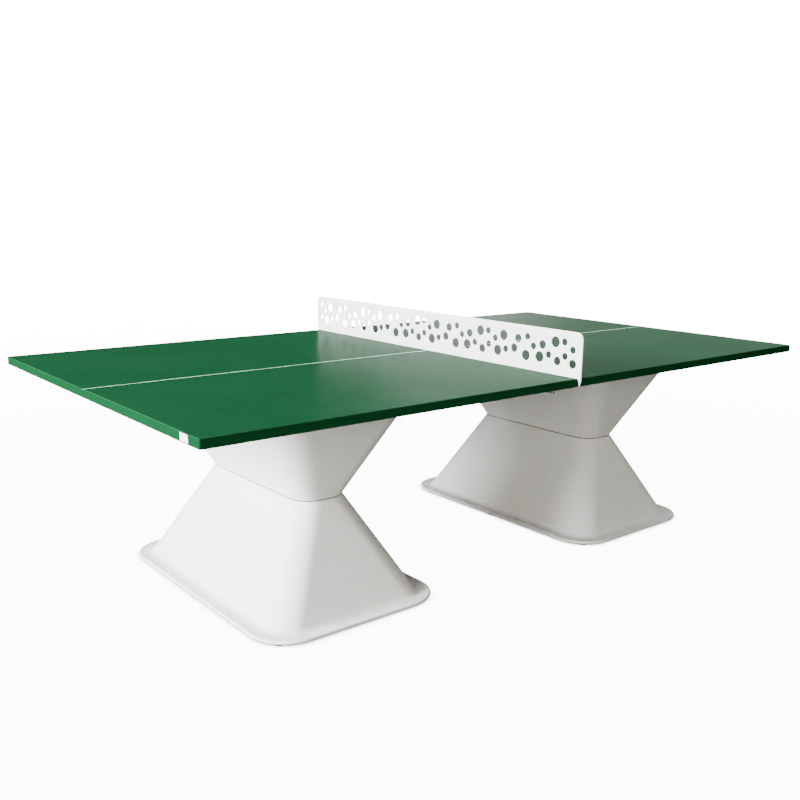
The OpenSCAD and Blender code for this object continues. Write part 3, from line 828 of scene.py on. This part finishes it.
def lower_moulding(side):
    p = pedestal_sections(side)
    foot, waist = p["foot"], p["waist"]
    base, top = p["floor_gap"], p["gasket_low"]
    wall_start = base + FLANGE_T
    tall = top - wall_start
    slope = ((foot[0] - waist[0]) + (foot[1] - waist[1])) / (2 * tall)
    lean = math.sqrt(1 + slope * slope)
    flange_z = wall_start - 0.002
    inner_foot, inner_waist = part_way(foot, foot, 0, -WALL), part_way(waist, waist, 0, -WALL)
    steps = [(part_way(foot, foot, 0, out), z) for out, z in [
        (-WALL + 0.003, base), (-WALL + 0.006, base), (FLANGE_OUT - 0.012, base), (FLANGE_OUT - LIP, base)]]
    lip = edge_arc(FLANGE_OUT - LIP, base + LIP, LIP, -90, 90, 10)
    steps += [(part_way(foot, foot, 0, out), z) for out, z in lip[1:]]
    steps += [(part_way(foot, foot, 0, out), z) for out, z in [
        (FLANGE_OUT - 0.009, wall_start - 0.0003), (FLANGE_OUT - 0.013, wall_start - 0.0013),
        (FLANGE_OUT - 0.018, flange_z)]]
    fillet_out = FILLET * lean - slope * (flange_z + FILLET - wall_start)
    fillet = edge_arc(fillet_out, flange_z + FILLET, FILLET, 270, 180 + math.degrees(math.atan(slope)), 10)
    for out, z in [(fillet_out + 0.002, flange_z)] + fillet:
        level = max(0.0, (z - wall_start) / tall)
        steps.append((part_way(foot, waist, level, out + slope * (z - wall_start)), z))
    for drop, pull in ((CREASE + 0.003, 0), (CREASE, 0), (CREASE * 0.55, 0.0002), (CREASE * 0.2, 0.0006), (0, 0.0014)):
        steps.append((part_way(foot, waist, 1 - drop / tall, -pull), top - drop))
    steps += [(part_way(waist, waist, 0, -0.006), top), (part_way(HAND_OPENING, HAND_OPENING, 0, 0.004), top)]
    steps += [(HAND_OPENING, top - 0.002), (HAND_OPENING, top - WAIST_FLANGE + 0.001)]
    steps += [(part_way(HAND_OPENING, HAND_OPENING, 0, 0.002), top - WAIST_FLANGE)]
    steps += [(part_way(inner_waist, inner_waist, 0, -0.005), top - WAIST_FLANGE)]
    for t in (0.985, 0.96, 0.5, 0.04, 0.01):
        steps.append((part_way(inner_foot, inner_waist, t), base + t * (top - WAIST_FLANGE - base)))
    steps.append((part_way(inner_foot, inner_foot, 0, 0.001), base + 0.001))
    piece = loft("foot_moulding_" + side, stack(p["centre"], steps), closed=True)
    return dress(piece, MOULDED, "shell_white", "lower_shell_" + side)


for side in SIDES:
    lower_moulding(side)

# %% [markdown]
# The upper moulding flares up to the half top and turns inwards under it. The gasket between the two
# mouldings is set back, so the waist reads as a dark line.

# %% Upper moulding and gasket
def upper_moulding(side):
    p = pedestal_sections(side)
    waist, rim = p["waist"], p["rim"]
    low, high = p["gasket_high"], p["under"]
    tall = high - low
    inner_waist, inner_rim = part_way(waist, waist, 0, -WALL), part_way(rim, rim, 0, -WALL)
    opening = part_way(rim, rim, 0, -WALL - RIM_IN)
    hand = HAND_OPENING
    steps = [(part_way(hand, hand, 0, 0.002), low), (part_way(waist, waist, 0, -0.006), low)]
    for lift, pull in ((0, 0.0014), (CREASE * 0.2, 0.0006), (CREASE * 0.55, 0.0002), (CREASE, 0), (CREASE + 0.003, 0)):
        steps.append((part_way(waist, rim, lift / tall, -pull), low + lift))
    for drop, pull in ((0.006, 0), (0.003, 0), (0.0012, 0.0005), (0, 0.0022), (0, 0.006)):
        steps.append((part_way(waist, rim, 1 - drop / tall, -pull), high - drop))
    steps += [(part_way(opening, opening, 0, 0.003), high), (opening, high - 0.0015)]
    steps += [(opening, high - RIM_FLANGE + 0.001), (part_way(opening, opening, 0, 0.002), high - RIM_FLANGE)]
    steps += [(part_way(inner_rim, inner_rim, 0, -0.006), high - RIM_FLANGE)]
    start = low + WAIST_FLANGE
    for t in (0.99, 0.96, 0.5, 0.04, 0.015):
        steps.append((part_way(inner_waist, inner_rim, t), start + t * (high - RIM_FLANGE - start)))
    steps += [(part_way(inner_waist, inner_waist, 0, -0.005), start)]
    steps += [(part_way(hand, hand, 0, 0.002), start), (hand, start - 0.001), (hand, low + 0.001)]
    piece = loft("head_moulding_" + side, stack(p["centre"], steps), closed=True)
    return dress(piece, MOULDED, "shell_white", "upper_shell_" + side)


SEAL_BACK = 0.0018


def gasket(side):
    p = pedestal_sections(side)
    outer, hand = part_way(p["waist"], p["waist"], 0, -SEAL_BACK), HAND_OPENING
    low, high = p["gasket_low"], p["gasket_high"]
    soft = 0.0006
    steps = [(hand, low + soft), (part_way(hand, hand, 0, soft), low), (part_way(outer, outer, 0, -soft), low),
             (outer, low + soft), (outer, high - soft), (part_way(outer, outer, 0, -soft), high),
             (part_way(hand, hand, 0, soft), high), (hand, high - soft)]
    piece = loft("waist_seal_" + side, stack(p["centre"], steps), closed=True)
    return dress(piece, RUBBER, "rubber_black", "waist_gasket_" + side)


for side in SIDES:
    upper_moulding(side)
    gasket(side)

# %% [markdown]
# ## Metal and small parts
# Zinc-plated steel has a cool, slightly blotchy shine with fine brushing. The inserts are brass, the
# dowels beech and the label plain paper.

# %% Finishes for small parts
def zinc_plate():
    finish = Finish("zinc_steel")
    blotch = finish.noise(40, 4)
    finish.colour(finish.mix(finish.remap(blotch, 0.3, 0.7, 0, 1), (0.60, 0.61, 0.63), (0.46, 0.47, 0.50)))
    finish.set(Metallic=1.0)
    finish.roughness(finish.noise(25, 5, 0.6, (1, 12, 12)), 0.28, 0.46)
    finish.bump([(finish.noise(300, 3, 0.6, (1, 8, 8)), 1.0)], 0.00003)
    return finish.material


def plain_brass():
    finish = Finish("brass")
    stain = finish.noise(120, 3)
    finish.colour(finish.mix(finish.remap(stain, 0.3, 0.7, 0, 1), (0.72, 0.54, 0.25), (0.58, 0.42, 0.18)))
    finish.set(Metallic=1.0)
    finish.roughness(stain, 0.3, 0.45)
    finish.bump([(finish.noise(900, 2), 1.0)], 0.00002)
    return finish.material


def beech():
    finish = Finish("dowel_wood")
    grain = finish.noise(90, 5, 0.6, (0.08, 1, 1))
    finish.colour(finish.mix(finish.remap(grain, 0.3, 0.7, 0, 1), (0.62, 0.44, 0.26), (0.50, 0.33, 0.18)))
    finish.roughness(grain, 0.5, 0.65)
    finish.bump([(grain, 1.0)], 0.0001)
    return finish.material


def label_paper():
    finish = Finish("label_white")
    fibre = finish.noise(700, 4)
    finish.colour(finish.mix(finish.remap(fibre, 0.3, 0.7, 0, 1), (0.88, 0.88, 0.87), (0.80, 0.80, 0.79)))
    finish.roughness(fibre, 0.4, 0.5)
    finish.bump([(fibre, 1.0)], 0.00002)
    return finish.material


ZINC, BRASS, BEECH, PAPER = zinc_plate(), plain_brass(), beech(), label_paper()
KEPT = {"dowels": BEECH, "blank_label": PAPER}
for side in SIDES:
    KEPT["rim_inserts_" + side] = BRASS
    for name in ("rim_washers_", "rim_screws_", "waist_washers_"):
        KEPT[name + side] = ZINC
    for bar in ("_1", "_2"):
        KEPT["clamp_bar_" + side + bar] = ZINC
for name, material in KEPT.items():
    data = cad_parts[name].data
    data.materials.clear()
    data.materials.append(material)
print(len(KEPT), "nodes kept with a better finish")

# %% [markdown]
# ## Repeated fittings
# Screws, bolts, nuts, feet and brackets repeat, so each is drawn once as a small template and set on a
# cloud of points by Geometry Nodes. The points come from the frame's own solids.

# %% Geometry Nodes tree that sets a template on points
def set_on_points():
    tree = NodeTree("set_on_points")
    tree.input("Template", "Object")
    tree.input("Material", "Material")
    given = tree.inlet.outputs
    shape = tree.add("GeometryNodeObjectInfo", {"Object": given["Template"]})
    turn = tree.add("GeometryNodeInputNamedAttribute", {"Name": "turn"}, data_type="FLOAT_VECTOR").outputs[0]
    placed = tree.add("GeometryNodeInstanceOnPoints", {"Points": given["Geometry"],
                                                      "Instance": shape.outputs["Geometry"], "Rotation": turn})
    real = tree.add("GeometryNodeRealizeInstances", {"Geometry": placed.outputs[0]})
    coated = tree.add("GeometryNodeSetMaterial", {"Geometry": real.outputs[0], "Material": given["Material"]})
    tree.out(coated.outputs[0])
    return tree.group


SET_ON_POINTS = set_on_points()


def set_pieces(name, template, spots, material, slot, nodes, turns=None):
    """Copies of a template at spots, each turned by its own angles, as one plain piece."""
    mesh = bpy.data.meshes.new(name)
    mesh.from_pydata([tuple(s) for s in spots], [], [])
    turn = mesh.attributes.new("turn", "FLOAT_VECTOR", "POINT")
    flat = [a for t in (turns or [(0, 0, 0)] * len(spots)) for a in t]
    turn.data.foreach_set("vector", flat)
    piece = grow(new_piece(name, mesh), SET_ON_POINTS, {"Template": template, "Material": material})
    bpy.data.objects.remove(template)
    return dress(piece, material, slot, *nodes)


def lathe(name, profile, steps=28):
    """Solid of revolution about Z from (radius, height) points that start and end on the axis."""
    bm = bmesh.new()
    rows = []
    for radius, z in profile:
        if radius == 0:
            rows.append([bm.verts.new((0, 0, z))])
            continue
        turns = [2 * math.pi * i / steps for i in range(steps)]
        rows.append([bm.verts.new((radius * math.cos(a), radius * math.sin(a), z)) for a in turns])
    for low, high in zip(rows, rows[1:]):
        for i in range(steps):
            j = (i + 1) % steps
            corners = [low[i % len(low)], low[j % len(low)], high[j % len(high)], high[i % len(high)]]
            unique = list(dict.fromkeys(corners))
            if len(unique) > 2:
                bm.faces.new(unique)
    bmesh.ops.recalc_face_normals(bm, faces=bm.faces)
    return finish_mesh(name, bm)


# %% [markdown]
# ### Rubber feet
# A turned pad with a rounded edge and a shallow groove, and the peg that holds it in the flange.

# %% Feet
def rubber_feet(side):
    names = ["foot_%s_%d" % (side, i) for i in range(1, 7)]
    boxes = [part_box(n) for n in names]
    radius = (boxes[0][1][0] - boxes[0][0][0]) / 2
    tall = boxes[0][1][2]
    pad = pedestal_sections(side)["floor_gap"]
    profile = [(0, 0), (radius * 0.3, 0), (radius * 0.34, 0.0006), (radius * 0.4, 0.0006), (radius * 0.44, 0),
               (radius - 0.0012, 0), (radius - 0.0003, 0.0004), (radius, 0.0014), (radius, pad - 0.001),
               (radius - 0.0006, pad), (0.005, pad), (0.005, tall - 0.001), (0.004, tall), (0, tall)]
    spots = [((low[0] + high[0]) / 2, (low[1] + high[1]) / 2, 0) for low, high in boxes]
    return set_pieces("rubber_feet_" + side, lathe("foot_template", profile), spots, RUBBER,
                      "rubber_black", names)


for side in SIDES:
    rubber_feet(side)

# %% [markdown]
# ### Screws and bolts
# Hexagon heads get a chamfered crown. The small screws have domed heads.

# %% Screw and bolt templates
def hex_prism(bm, across_corners, low, high, crown):
    """A hexagon from low to high, with its outer end rounded over by crown."""
    def hexagon(radius, z):
        return [bm.verts.new((radius * math.cos(math.radians(60 * i)), radius * math.sin(math.radians(60 * i)), z))
                for i in range(6)]
    sign = 1 if high > low else -1
    rows = [hexagon(across_corners, low), hexagon(across_corners, high - sign * crown),
            hexagon(across_corners - crown * 1.2, high)]
    for a, b in zip(rows, rows[1:]):
        for i in range(6):
            bm.faces.new((a[i], a[(i + 1) % 6], b[(i + 1) % 6], b[i]))
    bm.faces.new(rows[0])
    bm.faces.new(rows[-1])


def hex_bolt(name, shank, start, stop, head_radius, head_height):
    """A bolt along Z, its shank from start to stop and its head below start."""
    stem = lathe(name, [(0, start - 0.001), (shank, start - 0.001), (shank, stop - 0.001),
                        (shank - 0.0008, stop), (0, stop)], 24)
    bm = bmesh.new()
    bm.from_mesh(stem.data)
    hex_prism(bm, head_radius, start, start - head_height, 0.0012)
    bmesh.ops.recalc_face_normals(bm, faces=bm.faces)
    bm.to_mesh(stem.data)
    bm.free()
    for face in stem.data.polygons:
        face.use_smooth = face.area < 2e-6
    return stem


def waist_bolts(side):
    solids = islands("waist_bolts_" + side)
    low, high = solids[0]
    head_height, shank = 0.0065, 0.005
    template = hex_bolt("bolt_template", shank, low.z + head_height, high.z, (high.x - low.x) / 2, head_height)
    spots = [((a.x + b.x) / 2, (a.y + b.y) / 2, 0) for a, b in solids]
    return set_pieces("waist_bolt_set_" + side, template, spots, ZINC, "zinc_steel", ["waist_bolts_" + side])


def small_screws(name, node):
    solids = islands(node)
    low, high = solids[0]
    head, shank, head_height = (high.x - low.x) / 2, 0.0025, 0.003
    under = low.z + head_height
    recess = head * 0.35
    profile = [(0, low.z + 0.0008), (recess, low.z + 0.0008), (recess + 0.0003, low.z), (head * 0.62, low.z + 0.0002),
               (head * 0.88, low.z + 0.0011), (head, low.z + 0.0024), (head, under), (shank, under),
               (shank, high.z - 0.003), (0, high.z)]
    spots = [((a.x + b.x) / 2, (a.y + b.y) / 2, 0) for a, b in solids]
    return set_pieces(name, lathe("screw_template", profile, 20), spots, ZINC, "zinc_steel", [node])


for side in SIDES:
    waist_bolts(side)
small_screws("bracket_screw_set", "bracket_screws")
small_screws("splice_screw_set", "splice_screws")

# %% [markdown]
# ### Net fixings
# The net bolts lie along the table, so their templates are turned a quarter turn about the Y axis.

# %% Net bolts, nuts and washers
LIE_DOWN = (0, math.pi / 2, 0)


def net_fixings():
    bolts = islands("net_bolts")
    low, high = bolts[0]
    radius, head = 0.004, 0.0053
    spots = [(0, (a.y + b.y) / 2, (a.z + b.z) / 2) for a, b in bolts]
    turns = [LIE_DOWN] * len(spots)
    template = hex_bolt("bolt_template", radius, low.x + head, high.x, radius * 1.8, head)
    set_pieces("net_bolt_set", template, spots, ZINC, "zinc_steel", ["net_bolts"], turns)

    nut_low, nut_high = islands("net_nuts")[0]
    bm = bmesh.new()
    hex_prism(bm, radius * 1.8, nut_low.x, nut_high.x, 0.0008)
    bmesh.ops.recalc_face_normals(bm, faces=bm.faces)
    nut = finish_mesh("nut_template", bm)
    for face in nut.data.polygons:
        face.use_smooth = False
    set_pieces("net_nut_set", nut, spots, ZINC, "zinc_steel", ["net_nuts"], turns)

    washers = islands("net_washers")
    thick = washers[0][1].x - washers[0][0].x
    profile = [(0, 0), (radius * 2 - 0.0003, 0), (radius * 2, 0.0003), (radius * 2, thick - 0.0003),
               (radius * 2 - 0.0003, thick), (0, thick)]
    spots = [(a.x, (a.y + b.y) / 2, (a.z + b.z) / 2) for a, b in washers]
    set_pieces("net_washer_set", lathe("washer_template", profile), spots, ZINC, "zinc_steel",
               ["net_washers"], [LIE_DOWN] * len(spots))


net_fixings()

# %% [markdown]
# ### Brackets and splice plates
# The angle brackets are folded from strip, so the fold has an outer and an inner radius. The splice
# plates are flat bar with softened edges.

# %% Brackets and splice plates
def net_brackets():
    low, high = (Vector(c) for c in BRACKETS[0])
    leg, wide, thick = high.x - low.x, high.y - low.y, 0.004
    outer, inner = 0.006, 0.002
    # The section stands in X and Z, its fold at the origin's side: one leg down, one leg out.
    def arc(radius, a, b):
        angles = [math.radians(a + (b - a) * i / 6) for i in range(7)]
        return [(outer + radius * math.cos(t), -outer + radius * math.sin(t)) for t in angles]
    section = [(0, -leg)] + arc(outer, 180, 90) + [(leg, 0), (leg, -thick)] + arc(inner, 90, 180) + [(thick, -leg)]
    bm = bmesh.new()
    face = bm.faces.new([bm.verts.new((x, -wide / 2, z)) for x, z in section])
    made = bmesh.ops.extrude_face_region(bm, geom=[face])["geom"]
    bmesh.ops.translate(bm, verts=[v for v in made if isinstance(v, bmesh.types.BMVert)], vec=(0, wide, 0))
    bmesh.ops.recalc_face_normals(bm, faces=bm.faces)
    template = bevel(finish_mesh("bracket_template", bm), 0.0005, 2, 40)
    spots, turns = [], []
    for a, b in BRACKETS:
        right = a[0] > 0
        spots.append((a[0] if right else b[0], (a[1] + b[1]) / 2, b[2]))
        turns.append((0, 0, 0 if right else math.pi))
    set_pieces("net_bracket_set", template, spots, ZINC, "zinc_steel",
               ["net_bracket_%d" % i for i in range(1, 9)], turns)


def splice_plates():
    names = ["splice_plate_%d" % i for i in (1, 2, 3)]
    low, high = (Vector(c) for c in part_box(names[1]))
    middle = (low + high) / 2
    half = (high - low) / 2
    rings = [ring(half.x - s, half.y - s, 0.006 - s, z) for s, z in (
        (0.0008, -half.z), (0, -half.z + 0.0008), (0, half.z - 0.0008), (0.0008, half.z))]
    spots = [((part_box(n)[0][0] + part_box(n)[1][0]) / 2, (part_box(n)[0][1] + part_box(n)[1][1]) / 2, middle.z)
             for n in names]
    set_pieces("splice_plate_set", loft("plate_template", rings), spots, ZINC, "zinc_steel", names)


net_brackets()
splice_plates()

# %% End
print("done")
